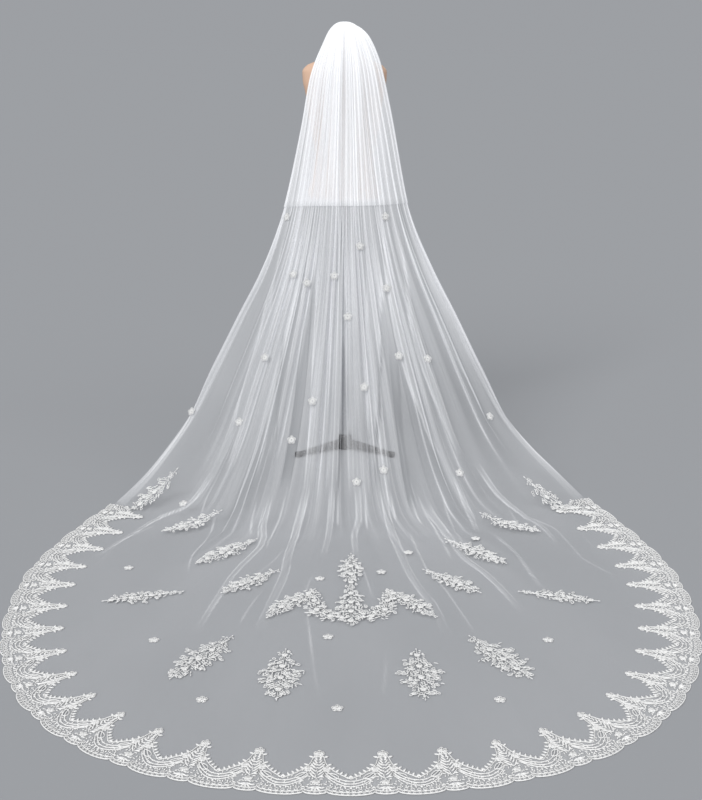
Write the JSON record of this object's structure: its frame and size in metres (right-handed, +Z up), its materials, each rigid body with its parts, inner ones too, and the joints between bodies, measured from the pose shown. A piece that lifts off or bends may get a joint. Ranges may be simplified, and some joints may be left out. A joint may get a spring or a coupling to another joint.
{
  "type": "two-tier bridal veil on a dress form",
  "caption": "Cathedral-length white tulle veil with a scalloped lace edge, lace sprays and small flowers, hung from a comb on a headless armless dress form with a tripod stand.",
  "frame": {"origin": "centre of the stand's hub, on the floor", "axes": "+Z up, +Y towards the front of the form, so the veil's train runs out towards -Y, +X to the right as the veil is seen from behind"},
  "size_m": [2.119, 2.715, 1.7341],
  "materials": {
    "tulle": "sheer white net, matt with a faint sheen",
    "lace": "corded ivory-white lace, matt, raised thread",
    "ribbon": "satin ribbon binding over the gathers",
    "skin": "flesh-coloured moulded shell, satin matt",
    "cap": "dark stained turned wood, satin",
    "steel": "plain steel: comb and pole",
    "black_metal": "black powder coat on the base, low sheen"
  },
  "bodies": {
    "root": {"centre_motif": "lace", "comb": "steel", "dress_form": "skin", "flower_01": "lace", "flower_02": "lace", "flower_03": "lace", "flower_04": "lace", "flower_05": "lace", "flower_06": "lace", "flower_07": "lace", "flower_08": "lace", "flower_09": "lace", "flower_10": "lace", "flower_11": "lace", "flower_12": "lace", "flower_13": "lace", "flower_14": "lace", "flower_15": "lace", "flower_16": "lace", "flower_17": "lace", "flower_18": "lace", "flower_19": "lace", "flower_20": "lace", "flower_21": "lace", "flower_22": "lace", "flower_23": "lace", "flower_24": "lace", "flower_25": "lace", "flower_26": "lace", "flower_27": "lace", "flower_28": "lace", "flower_29": "lace", "flower_30": "lace", "flower_31": "lace", "flower_32": "lace", "gather_band": "ribbon", "lace_border": "lace", "long_tier": "tulle", "neck_cap": "cap", "short_tier": "tulle", "spray_corner_left": "lace", "spray_corner_right": "lace", "spray_hem_left": "lace", "spray_hem_right": "lace", "spray_inner_left": "lace", "spray_inner_right": "lace", "spray_lower_left": "lace", "spray_lower_right": "lace", "spray_outer_left": "lace", "spray_outer_right": "lace", "spray_shoulder_left": "lace", "spray_shoulder_right": "lace", "spray_waist_left": "lace", "spray_waist_right": "lace", "stand_base": "black_metal", "stand_pole": "steel"}
  },
  "joints": []
}
